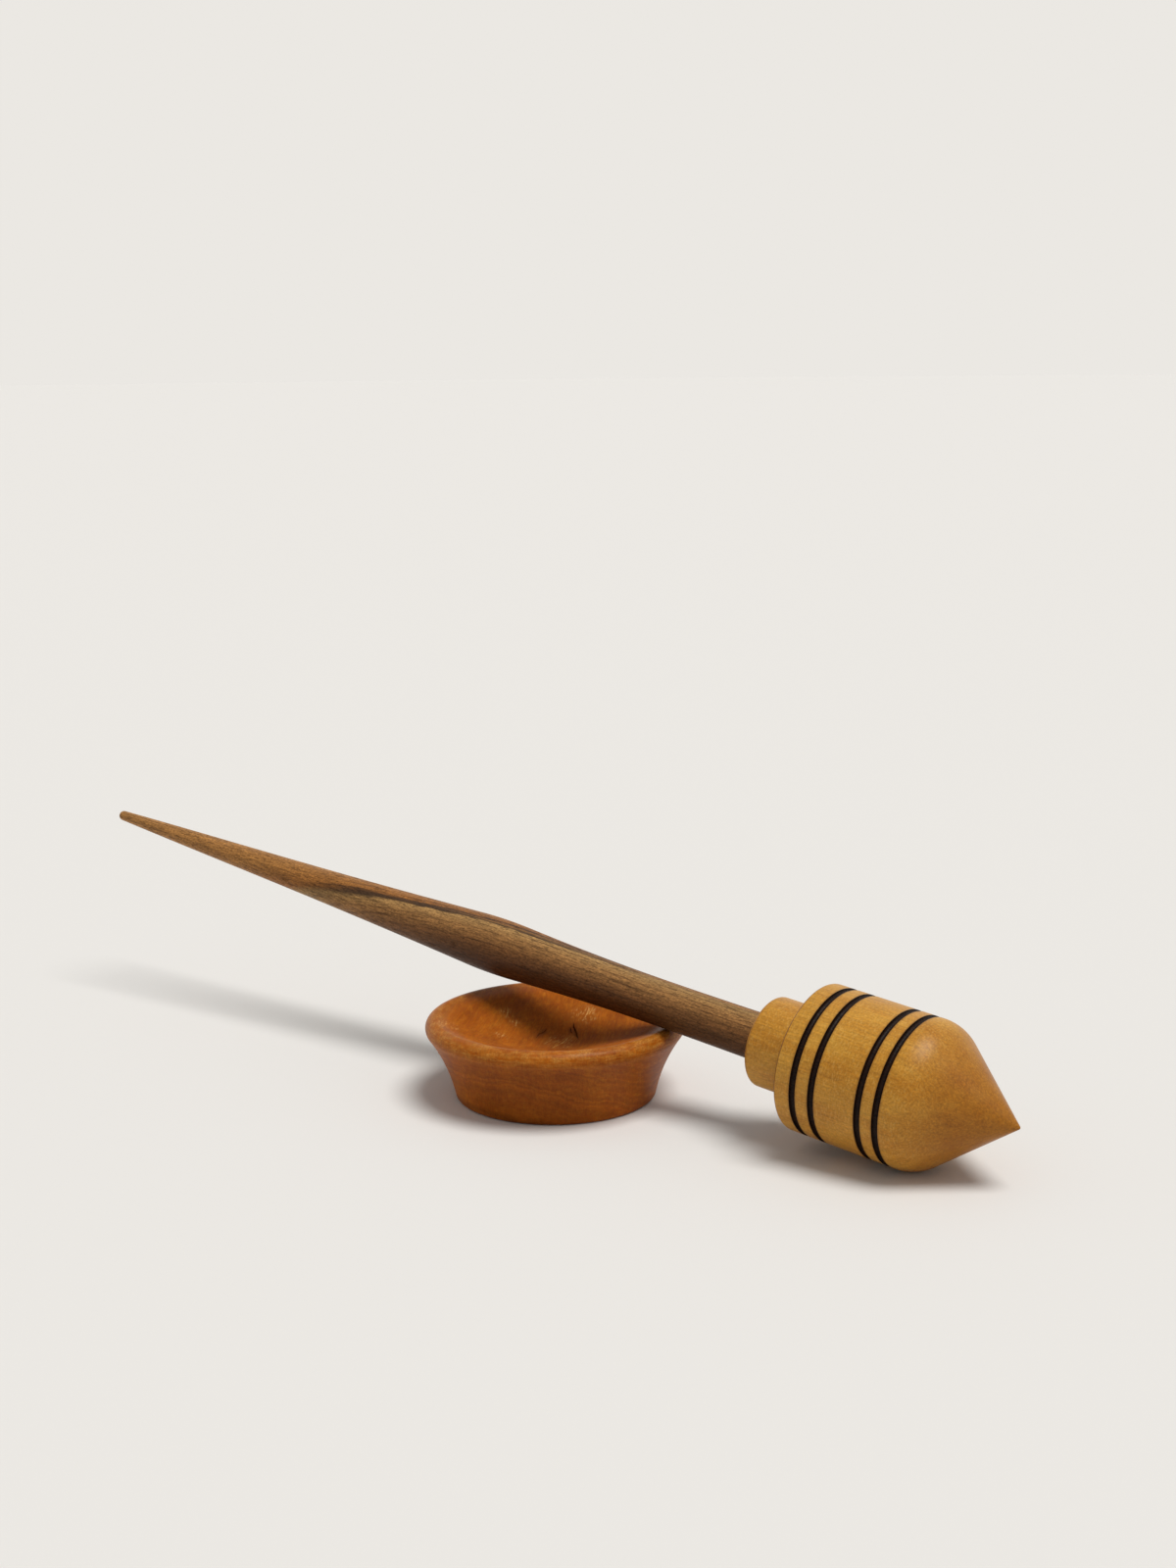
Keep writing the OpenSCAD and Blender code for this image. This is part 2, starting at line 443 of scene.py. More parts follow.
def add(tree, kind, inputs=None, stops=None, **settings):
    """Adds a node and returns its first live output. Inputs are values or outputs of other nodes."""
    node = tree.nodes.new("ShaderNode" + kind)
    for name, value in settings.items():
        setattr(node, name, value)
    for name, value in (inputs or {}).items():
        live = [s for s in node.inputs if s.enabled and s.name == name]
        socket = node.inputs[name] if isinstance(name, int) else live[0]
        if isinstance(value, bpy.types.NodeSocket):
            tree.links.new(value, socket)
        else:
            socket.default_value = value
    for i, (place, tint) in enumerate(stops or []):
        ramp = node.color_ramp.elements
        stop = ramp[i] if i < 2 else ramp.new(place)
        stop.position = place
        stop.color = linear(tint)
    return next((s for s in node.outputs if s.enabled), None)


def new_finish(name):
    """An empty material and its node tree."""
    finish = bpy.data.materials.new(name)
    finish.use_nodes = True
    finish.node_tree.nodes.clear()
    return finish, finish.node_tree


# %% Places and patterns in the wood
def along_spindle(tree):
    """Millimetres in the spindle's own axes: X up, Y to the side and Z from the point."""
    place = add(tree, "TexCoord").node.outputs["Object"]
    turned = {"Vector": place, "Location": point, "Rotation": lay_turn, "Scale": (MM, MM, MM)}
    return add(tree, "Mapping", turned, vector_type="TEXTURE")


def from_axis(tree, axes):
    """Distance in mm from the axis that a piece was turned on."""
    flat = add(tree, "CombineXYZ", {"X": axes["X"], "Y": axes["Y"]})
    return add(tree, "VectorMath", {0: flat}, operation="LENGTH")


def patches(tree, place, size, low, high, sharp=(0.3, 0.7), detail=3.0):
    """Noise whose patches have a size in mm, spread from a low value to a high one."""
    cells = add(tree, "VectorMath", {0: place, 1: size}, operation="DIVIDE")
    cloudy = {"Vector": cells, "Scale": 1.0, "Detail": detail, "Roughness": 0.6}
    spread = {"Value": add(tree, "TexNoise", cloudy), "To Min": low, "To Max": high}
    spread |= {"From Min": sharp[0], "From Max": sharp[1]}
    return add(tree, "MapRange", spread)


def tool_marks(tree, axes, reach, apart, low, high):
    """Faint rings that the turning tool left, a distance apart in mm."""
    place = add(tree, "CombineXYZ", {"X": reach, "Z": axes["Z"]})
    return patches(tree, place, (apart, 1.0, apart), low, high, detail=2.0)


# %% Oil on wood, and a piece's dress
WOOD_IOR = 1.5


def oil(tree, tone, rough, relief, sheen):
    """Ends a wood's finish with its colour, its roughness, its relief and the sheen of its oil."""
    wood = {"Base Color": tone, "Roughness": rough, "Normal": relief}
    wood |= {"IOR": WOOD_IOR, "Specular IOR Level": sheen}
    add(tree, "OutputMaterial", {"Surface": add(tree, "BsdfPrincipled", wood)})


def dress(piece, finish, body, node):
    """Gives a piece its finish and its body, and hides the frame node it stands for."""
    piece.data.materials.clear()
    piece.data.materials.append(finish)
    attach(piece, body)
    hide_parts(node)
    print(f"{piece.name} wears {finish.name}")


# %% [markdown]
# ## The dark sheet in the walnut
# Walnut is a mid brown wood. On this shaft one dark growth sheet meets the surface along the top: as
# two thin lines from the swelling down, and further out as a single line that comes round to the
# front and fades softly where the shaft thins. Past it the wood is more orange, and below it the
# brown darkens towards the shaft's underside, partly the wood's own and partly painted shade. A line
# could be painted along the surface, but a sheet in the block is truer: its distance in millimetres
# gives the line, the two browns with their painted shade and the finer growth lines beside it.

# %% Where the sheet lies and what it colours
# the sheet faces up and to one side, lies this far from the axis in mm and sways a little
SHEET_FACES = (0.8, 0.6, 0.0)
SHEET_OFF = 4.9
SHEET_SWAY = 0.25
# in mm from the point: where it starts to bend down, and the run in which it drops by 1 mm
BEND_FROM = 132.0
BEND_RUN = 30.5
# finer lines beside it, in mm apart
LINE_GAP = 1.5
# browns by distance past the sheet in mm, the range's ends first; the darkest, below it, are partly
# painted shade
BROWNS_WITH_SHADE = (
    (-10.0, "#50321a"),
    (30.0, "#a0723f"),
    (-6.8, "#744d2a"),
    (-3.6, "#93693c"),
    (-0.8, "#a47e4c"),
    (0.48, "#8e5a28"),
    (6.0, "#a06e39"),
)


def past_sheet(tree, grain, run):
    """Distance past the sheet in mm. From BEND_FROM on, the sheet bends down like a parabola."""
    facing = add(tree, "VectorMath", {0: grain, 1: SHEET_FACES}, operation="DOT_PRODUCT")
    bend = {"Value": run, "From Min": BEND_FROM, "From Max": BEND_FROM + BEND_RUN}
    bend = add(tree, "MapRange", bend, clamp=False)
    bend = add(tree, "Math", {0: bend, 1: 0.0}, operation="MAXIMUM")
    sheet = add(tree, "Math", {0: bend, 1: bend, 2: facing}, operation="MULTIPLY_ADD")
    sway = patches(tree, grain, (4.0, 4.0, 30.0), -SHEET_OFF - SHEET_SWAY, -SHEET_OFF + SHEET_SWAY)
    return add(tree, "Math", {0: sheet, 1: sway}, operation="ADD")


def browns_and_shade(tree, beyond):
    """The wood's brown at a distance past the sheet, darker towards the underside partly as painted
    shade.
    """
    first, last = BROWNS_WITH_SHADE[0][0], BROWNS_WITH_SHADE[1][0]
    zone = add(tree, "MapRange", {"Value": beyond, "From Min": first, "From Max": last})
    stops = [((mm - first) / (last - first), tint) for mm, tint in BROWNS_WITH_SHADE]
    return add(tree, "ValToRGB", {"Fac": zone}, stops=stops)


def growth_lines(tree, grain, run, beyond):
    """Fine lines beside the sheet, broken along the grain and fainter towards the free end."""
    line = add(tree, "Math", {0: beyond, 1: LINE_GAP}, operation="DIVIDE")
    line = add(tree, "Math", {0: line}, operation="FRACT")
    comb = [(0.62, "#000000"), (1.0, "#202020"), (0.88, "#ffffff")]
    line = add(tree, "ValToRGB", {"Fac": line}, stops=comb)
    broken = patches(tree, grain, (1.6, 1.6, 16.0), 0.0, 0.75, sharp=(0.44, 0.6))
    line = add(tree, "Math", {0: line, 1: broken}, operation="MULTIPLY")
    faint = {"Value": run, "From Min": 200.0, "From Max": 235.0, "To Min": 1.0, "To Max": 0.25}
    return add(tree, "Math", {0: line, 1: add(tree, "MapRange", faint)}, operation="MULTIPLY")


# %% The sheet's own dark line
def dark_line(tree, grain, run, beyond):
    """How dark the line is where the sheet meets the surface. Places are in mm from the point."""
    # half its width in mm: a little wider before the swelling, and much wider where the shaft thins
    early = {"Value": run, "From Min": 138.0, "From Max": 158.0, "To Min": 0.9, "To Max": 0.8}
    late = {"Value": run, "From Min": 185.0, "From Max": 214.0, "To Max": 2.0}
    wide = add(tree, "Math", {0: add(tree, "MapRange", early), 1: add(tree, "MapRange", late)})
    ragged = patches(tree, grain, (0.5, 0.5, 14.0), 0.6, 1.5)
    off = add(tree, "Math", {0: beyond}, operation="ABSOLUTE")
    off = add(tree, "Math", {0: off, 1: wide}, operation="DIVIDE")
    off = add(tree, "Math", {0: off, 1: ragged}, operation="MULTIPLY")
    # its edges, which grow soft towards the outer end
    soft = {"Value": run, "From Min": 176.0, "From Max": 204.0, "To Min": 0.6, "To Max": 0.0}
    core = {"Value": off, "From Min": 1.15, "From Max": add(tree, "MapRange", soft)}
    line = add(tree, "MapRange", core, interpolation_type="SMOOTHSTEP")
    # from the swelling down it is two thin lines with paler wood between them
    inside = {"Value": off, "From Min": 0.5, "From Max": 0.2}
    inside = add(tree, "MapRange", inside, interpolation_type="SMOOTHSTEP")
    split = {"Value": run, "From Min": 172.0, "From Max": 154.0, "To Max": 0.55}
    inside = add(tree, "Math", {0: inside, 1: add(tree, "MapRange", split)}, operation="MULTIPLY")
    inside = add(tree, "Math", {0: 1.0, 1: inside}, operation="SUBTRACT")
    line = add(tree, "Math", {0: line, 1: inside}, operation="MULTIPLY")
    # it is faint near the collar, and fades out where the shaft thins
    fade = {"Value": run, "From Min": 203.0, "From Max": 222.0, "To Min": 0.88, "To Max": 0.0}
    line = add(tree, "Math", {0: line, 1: add(tree, "MapRange", fade)}, operation="MULTIPLY")
    begin = {"Value": run, "From Min": 100.0, "From Max": 128.0, "To Min": 0.35}
    return add(tree, "Math", {0: line, 1: add(tree, "MapRange", begin)}, operation="MULTIPLY")


# %% [markdown]
# ## Oiled walnut
# Walnut's open pores show as short dark dashes along the grain and its fibres as soft streaks. The
# glint of its cut fibres is a painted highlight: a fine light and dark speckle in the colour. Oil
# leaves it satin. The pores are real hollows, so they are also duller and lower than the wood round
# them: one pattern sets the colour, the roughness and the relief.


# %% Walnut for the shaft
def oiled_walnut():
    """Mid brown wood with the dark sheet, fibres and open pores."""
    finish, tree = new_finish("oiled walnut")
    grain = along_spindle(tree)
    run = add(tree, "SeparateXYZ", {"Vector": grain}).node.outputs["Z"]
    beyond = past_sheet(tree, grain, run)
    # the brown darkens towards the underside, partly as painted shade
    tone = browns_and_shade(tree, beyond)
    lines = growth_lines(tree, grain, run, beyond)
    tone = add(tree, "Mix", {"Factor": lines, "A": tone, "B": linear("#3f2410")}, data_type="RGBA")
    line = dark_line(tree, grain, run, beyond)
    tone = add(tree, "Mix", {"Factor": line, "A": tone, "B": linear("#36261a")}, data_type="RGBA")
    # fibres: soft streaks 0.6 mm wide and about 14 mm long
    fibre = patches(tree, grain, (0.6, 0.6, 14.0), 0.7, 1.31, detail=4.0)
    streaks = {"Factor": 1.0, "A": tone, "B": fibre}
    tone = add(tree, "Mix", streaks, data_type="RGBA", blend_type="MULTIPLY")
    # pores: dashes 1 to 3 mm long, drawn 0.3 mm wide so that they show
    pore = patches(tree, grain, (0.3, 0.3, 2.5), 0.0, 1.0, sharp=(0.53, 0.63), detail=2.0)
    dark = add(tree, "Math", {0: pore, 1: 0.5}, operation="MULTIPLY")
    tone = add(tree, "Mix", {"Factor": dark, "A": tone, "B": linear("#341e0c")}, data_type="RGBA")
    # a painted glint of cut fibre ends: a fine speckle in the colour, drawn 0.3 mm wide so that it
    # shows
    painted_glint = patches(tree, grain, (0.28, 0.28, 0.7), 0.62, 1.4, detail=2.0)
    painted_glints = {"Factor": 1.0, "A": tone, "B": painted_glint}
    tone = add(tree, "Mix", painted_glints, data_type="RGBA", blend_type="MULTIPLY")
    rough = add(tree, "MapRange", {"Value": pore, "To Min": 0.42, "To Max": 0.65})
    deep = add(tree, "Math", {0: fibre, 1: -0.5, 2: pore}, operation="MULTIPLY_ADD")
    hollows = {"Height": deep, "Strength": 0.5, "Distance": 0.08 * MM}
    relief = add(tree, "Bump", hollows, invert=True)
    oil(tree, tone, rough, relief, sheen=0.12)
    return finish


dress(shaft, oiled_walnut(), "spindle", "shaft")

# %% [markdown]
# ## Oiled boxwood
# The whorl is a pale, close-grained wood such as box, which oil turns golden. Its grain is a fine
# speckle with faint streaks along the axis and short pale rays on the straight body. Cut fibre ends
# drink more oil, so the cone, the body's back face and the collar's end are browner. The wood is
# scorched beside each burnt line, and a painted shade darkens the body's back edge, where it turns
# away from the light in front of the collar. These marks could be painted on, but they follow the
# turned shape, so two measures place them all: the distance from the point along the axis, and the
# distance from the axis.

# %% Marks on the whorl
# in mm from the point: where the wood starts to be browner, and where it is fully brown
BROWN_FROM = 27.0
BROWN_FULL = 11.0
# width of the scorched wood beside a burnt line in mm
SCORCH_W = 0.5


def cut_ends(tree, axes, reach):
    """1 where the whorl shows cut fibre ends: the cone, the body's back face and the collar's end."""
    cone = {"Value": axes["Z"], "From Min": BROWN_FROM, "From Max": BROWN_FULL}
    cone = add(tree, "MapRange", cone, interpolation_type="SMOOTHSTEP")
    outside = add(tree, "Math", {0: reach, 1: collar_r + 0.05}, operation="GREATER_THAN")
    behind = add(tree, "Math", {0: axes["Z"], 1: whorl_len - 0.1}, operation="GREATER_THAN")
    back = add(tree, "Math", {0: outside, 1: behind}, operation="MULTIPLY")
    cut = add(tree, "Math", {0: cone, 1: back}, operation="MAXIMUM")
    end = {"Value": axes["Z"], "From Min": collar_end - collar_edge_r, "From Max": collar_end}
    return add(tree, "Math", {0: cut, 1: add(tree, "MapRange", end)}, operation="MAXIMUM")


def scorched(tree, axes):
    """How scorched the wood is within half a millimetre of each burnt line."""
    stops = []
    for at in burnt_at:
        low, high = at - burnt_w / 2, at + burnt_w / 2
        edges = (low - SCORCH_W, low, high, high + SCORCH_W)
        tints = ("#000000", "#ffffff", "#ffffff", "#000000")
        stops += [(edge / whorl_len, tint) for edge, tint in zip(edges, tints)]
    place = add(tree, "MapRange", {"Value": axes["Z"], "From Max": whorl_len})
    scorch = add(tree, "ValToRGB", {"Fac": place}, stops=stops)
    return add(tree, "Math", {0: scorch, 1: 0.45}, operation="MULTIPLY")


def shaded_back_edge(tree, axes, reach):
    """How dark the painted shade is on the body's back edge, in front of the collar."""
    back_band = {"Value": axes["Z"], "From Min": whorl_len - 0.6, "From Max": whorl_len - 0.35}
    outer_band = {"Value": reach, "From Min": whorl_r - 3.2, "From Max": whorl_r - 0.8}
    outer_band = add(tree, "MapRange", outer_band, interpolation_type="SMOOTHSTEP")
    edge = add(tree, "Math", {0: add(tree, "MapRange", back_band), 1: outer_band}, operation="MULTIPLY")
    return add(tree, "Math", {0: edge, 1: 0.8}, operation="MULTIPLY")


# %% Boxwood for the whorl
def oiled_boxwood():
    """Golden close-grained wood, browner where its fibres are cut across."""
    finish, tree = new_finish("oiled boxwood")
    grain = along_spindle(tree)
    axes = add(tree, "SeparateXYZ", {"Vector": grain}).node.outputs
    reach = from_axis(tree, axes)
    cloud = patches(tree, grain, (5.0, 5.0, 18.0), 0.0, 1.0)
    gold = [(0.0, "#b0741f"), (1.0, "#c79136"), (0.5, "#bc832b")]
    tone = add(tree, "ValToRGB", {"Fac": cloud}, stops=gold)
    cut = cut_ends(tree, axes, reach)
    mottle = patches(tree, grain, (5.0, 5.0, 9.0), 0.6, 0.95)
    brown = add(tree, "Math", {0: cut, 1: mottle}, operation="MULTIPLY")
    tone = add(tree, "Mix", {"Factor": brown, "A": tone, "B": linear("#90550e")}, data_type="RGBA")
    # fibres: faint streaks half a millimetre wide
    fibre = patches(tree, grain, (0.45, 0.45, 9.0), 0.83, 1.15)
    # close grain: a fine speckle, drawn 0.4 mm across so that it shows
    speck = patches(tree, grain, (0.4, 0.4, 0.55), 0.8, 1.18, detail=2.0)
    for pattern in (fibre, speck):
        layer = {"Factor": 1.0, "A": tone, "B": pattern}
        tone = add(tree, "Mix", layer, data_type="RGBA", blend_type="MULTIPLY")
    # rays: short pale strokes across the fibres, 1 mm long and 0.4 mm wide, on the straight body
    ray = patches(tree, grain, (1.0, 1.0, 0.4), 0.0, 0.3, sharp=(0.5, 0.72), detail=1.0)
    side = add(tree, "Math", {0: 1.0, 1: cut}, operation="SUBTRACT")
    ray = add(tree, "Math", {0: ray, 1: side}, operation="MULTIPLY")
    scorch = scorched(tree, axes)
    # painted shade on the body's back edge, where it turns away from the light in front of the collar
    edge = shaded_back_edge(tree, axes, reach)
    for amount, tint in ((ray, "#dfb05c"), (scorch, "#5a3413"), (edge, "#6e3a0c")):
        layer = {"Factor": amount, "A": tone, "B": linear(tint)}
        tone = add(tree, "Mix", layer, data_type="RGBA")
    tool = tool_marks(tree, axes, reach, 0.4, 0.0, 1.0)
    deep = add(tree, "Math", {0: speck, 1: 1.5, 2: tool}, operation="MULTIPLY_ADD")
    relief = add(tree, "Bump", {"Height": deep, "Strength": 0.25, "Distance": 0.04 * MM})
    rough = add(tree, "MapRange", {"Value": cloud, "To Min": 0.34, "To Max": 0.44})
    oil(tree, tone, rough, relief, sheen=0.22)
    return finish


dress(whorl, oiled_boxwood(), "spindle", "whorl")

# %% [markdown]
# ## Charred wood
# Char is black with a trace of brown. Burnt fibres leave fine strokes that are smoother on their
# ridges, so a soft gleam runs along the hollow of each line. An even black would look painted, so
# one pattern of strokes sets the colour, the roughness and the relief.


# %% Char for the burnt lines
def charred_wood():
    """Black burnt wood with fine strokes."""
    finish, tree = new_finish("charred wood")
    grain = along_spindle(tree)
    # burnt fibres: fine strokes along the spindle, drawn 0.35 mm wide so that they show
    crust = patches(tree, grain, (0.35, 0.35, 2.0), 0.0, 1.0, detail=4.0)
    tone = add(tree, "ValToRGB", {"Fac": crust}, stops=[(0.2, "#0c0402"), (1.0, "#2b1509")])
    rough = add(tree, "MapRange", {"Value": crust, "To Min": 0.55, "To Max": 0.28})
    relief = add(tree, "Bump", {"Height": crust, "Strength": 0.5, "Distance": 0.08 * MM})
    oil(tree, tone, rough, relief, sheen=0.1)
    return finish


dress(burnt, charred_wood(), "spindle", "burnt_lines")

# %% [markdown]
# ## The grain of the bowl's block
# The bowl is an orange-brown fruitwood such as pear. A bowl is usually turned with its fibres lying
# across the dish, and the pale flecks and the checks in the photograph point one way, which gives
# their direction. Growth rings are then parts of wide tubes round the heart of the branch, which lay
# far below the foot: they cross the dish as faint ovals and are clearest on the wall. At its front
# and back the wall also shows cut fibre ends, which drank more oil and are darker. All this comes
# from one set of axes in the block: along the fibres, across them, and up.

# %% Axes, wall and growth rings of the block
FIBRE_TURN = math.radians(118)
# the heart of the branch, in mm across the fibres and up
HEART = (0.0, 11.0, -44.0)


def block_axes(tree):
    """Millimetres in the block, and the same turned so that X runs along the fibres."""
    place = add(tree, "TexCoord").node.outputs["Object"]
    block = add(tree, "Mapping", {"Vector": place, "Scale": (MM, MM, MM)}, vector_type="TEXTURE")
    turned = {"Vector": block, "Rotation": (0.0, 0.0, FIBRE_TURN)}
    return block, add(tree, "Mapping", turned, vector_type="TEXTURE")


def bowl_wall(tree, axes, reach):
    """1 on the outer wall, fading out under the rim."""
    outer = {"Value": reach, "From Min": foot_d / 2 - 3.0, "From Max": foot_d / 2 - 1.5}
    under = {"Value": axes["Z"], "From Min": bowl_h - 2.5, "From Max": bowl_h - 6.0}
    under = add(tree, "MapRange", under, interpolation_type="SMOOTHSTEP")
    return add(tree, "Math", {0: add(tree, "MapRange", outer), 1: under}, operation="MULTIPLY")


def wall_ends(tree, axes, reach, wall):
    """How far the front and back of the wall show cut fibre ends."""
    ahead = add(tree, "Math", {0: axes["X"]}, operation="ABSOLUTE")
    ahead = add(tree, "Math", {0: ahead, 1: reach}, operation="DIVIDE")
    facing = {"Value": ahead, "From Min": 0.7, "To Max": 0.5}
    ends = add(tree, "MapRange", facing, interpolation_type="SMOOTHSTEP")
    return add(tree, "Math", {0: ends, 1: wall}, operation="MULTIPLY")


def growth_rings(tree, grain, axes):
    """Light and dark rings round the heart, about 2 mm apart and uneven as seasons are."""
    across = add(tree, "CombineXYZ", {"Y": axes["Y"], "Z": axes["Z"]})
    away = add(tree, "VectorMath", {0: across, 1: HEART}, operation="DISTANCE")
    sway = patches(tree, grain, (30.0, 10.0, 10.0), 0.0, 2.5)
    place = add(tree, "CombineXYZ", {"X": add(tree, "Math", {0: away, 1: sway})})
    return patches(tree, place, (1.6, 1.0, 1.0), 0.7, 1.2, detail=2.0)


# %% [markdown]
# ## Wear and painted sheen on the bowl
# Hands and the shaft rub the rim, which is paler in streaks and fine specks: partly wear, and partly
# a painted sheen of the light along the rim's crest. The spindle's point scuffs the dish, which is
# duller than the rim. Wear and sheen follow the turned shape and not the grain, so they are placed by
# the height and the distance from the axis, with soft edges.


# %% The rim and the dish
def handled_rim(tree, axes, reach):
    """1 on the rim that hands and the shaft rub."""
    outer = {"Value": reach, "From Min": rim_c.x - rim_r - 0.8, "From Max": rim_c.x - 0.4}
    upper = {"Value": axes["Z"], "From Min": bowl_h - 5.5, "From Max": bowl_h - 1.0}
    outer = add(tree, "MapRange", outer, interpolation_type="SMOOTHSTEP")
    upper = add(tree, "MapRange", upper, interpolation_type="SMOOTHSTEP")
    return add(tree, "Math", {0: outer, 1: upper}, operation="MULTIPLY")


def pale_wear_and_sheen(tree, block, handled):
    """Wear and painted sheen on the rim: pale streaks round it, broken into specks of about half a
    millimetre.
    """
    streaks = patches(tree, block, (3.2, 3.2, 0.6), 0.0, 0.5, sharp=(0.38, 0.66))
    wear_and_sheen = add(tree, "Math", {0: handled, 1: streaks}, operation="MULTIPLY")
    specks = patches(tree, block, (0.45, 0.45, 0.35), 0.3, 1.8, sharp=(0.34, 0.68), detail=2.0)
    return add(tree, "Math", {0: wear_and_sheen, 1: specks}, operation="MULTIPLY", use_clamp=True)


def scuffed_dish(tree, axes, reach):
    """How much roughness the spindle's point adds to the dish."""
    edge = rim_c.x - rim_r
    inner = {"Value": reach, "From Min": edge, "From Max": edge - 3.0, "To Max": 0.34}
    lowest = bowl_h - dish_depth - 0.5
    above = add(tree, "Math", {0: axes["Z"], 1: lowest}, operation="GREATER_THAN")
    return add(tree, "Math", {0: add(tree, "MapRange", inner), 1: above}, operation="MULTIPLY")


# %% [markdown]
# ## Checks and flecks
# Oil soaks into the open fibres beside a check and darkens them. In a few places of the dish the
# wood's rays are cut along their length and show as clusters of pale strokes. Each of these has its
# own place, so a Mapping node centres a small patch on it and turns it along its run.

# %% Dark oil and pale flecks
# each cluster's place on the dish and its radius in mm, and the turn of its strokes in degrees
FLECKS = (
    {"at": (-3.0, 16.3), "size": 5.4, "turn": 115},
    {"at": (-0.6, 3.0), "size": 5.6, "turn": 100},
    {"at": (-11.1, -7.9), "size": 3.0, "turn": 117},
    {"at": (-18.7, 3.3), "size": 3.4, "turn": 129},
    {"at": (-14.4, 1.6), "size": 2.4, "turn": 129},
    {"at": (-18.7, -20.7), "size": 5.0, "turn": 128},
)


def on_dish(tree, block, at, turn, scale=(1.0, 1.0, 1.0)):
    """Millimetres, times a scale, round a place on the dish, with X along a turn in radians."""
    centre = (at[0], at[1], dish_height(math.hypot(at[0], at[1])))
    spot = {"Vector": block, "Location": centre, "Rotation": (0.0, 0.0, turn), "Scale": scale}
    return add(tree, "Mapping", spot, vector_type="TEXTURE")


def soaked_oil(tree, block):
    """How dark the oil is that soaked in beside each check."""
    soaked = 0.0
    for check in CHECKS:
        start, end = Vector(check["path"][0]), Vector(check["path"][-1])
        heading = math.atan2(end.y - start.y, end.x - start.x)
        stretch = ((end - start).length * 0.6, 1.1, 8.0)
        local = on_dish(tree, block, (start + end) / 2, heading, stretch)
        away = add(tree, "VectorMath", {0: local}, operation="LENGTH")
        near = {"Value": away, "From Min": 1.0, "From Max": 0.2, "To Max": 0.55}
        near = add(tree, "MapRange", near, interpolation_type="SMOOTHSTEP")
        soaked = add(tree, "Math", {0: soaked, 1: near}, operation="MAXIMUM")
    return soaked


def pale_flecks(tree, block):
    """How pale the clusters are, with strokes 0.5 mm wide and up to 4 mm long."""
    pale = 0.0
    for fleck in FLECKS:
        local = on_dish(tree, block, fleck["at"], math.radians(fleck["turn"]))
        stroke = patches(tree, local, (3.6, 0.5, 3.6), 0.0, 1.0, sharp=(0.46, 0.64), detail=2.0)
        cluster = patches(tree, local, (1.7, 1.2, 1.7), 0.1, 1.25, sharp=(0.42, 0.6))
        stroke = add(tree, "Math", {0: stroke, 1: cluster}, operation="MULTIPLY")
        away = add(tree, "VectorMath", {0: local}, operation="LENGTH")
        edge = {"Value": away, "From Min": fleck["size"], "From Max": 0.3 * fleck["size"]}
        near = add(tree, "MapRange", edge, interpolation_type="SMOOTHSTEP")
        stroke = add(tree, "Math", {0: stroke, 1: near}, operation="MULTIPLY")
        pale = add(tree, "Math", {0: pale, 1: stroke}, operation="MAXIMUM")
    return add(tree, "Math", {0: pale, 1: 0.55}, operation="MULTIPLY")


# %% [markdown]
# ## Oiled pear
# Oiled pear is satin and deep in colour. Its layers are laid in the order in which they came about:
# the wood's own clouds and figure, what oil and hands did to them with a painted sheen on the rim,
# and the grain's fine shading over both. The checks, the flecks and the marks of the turning tool
# come last.


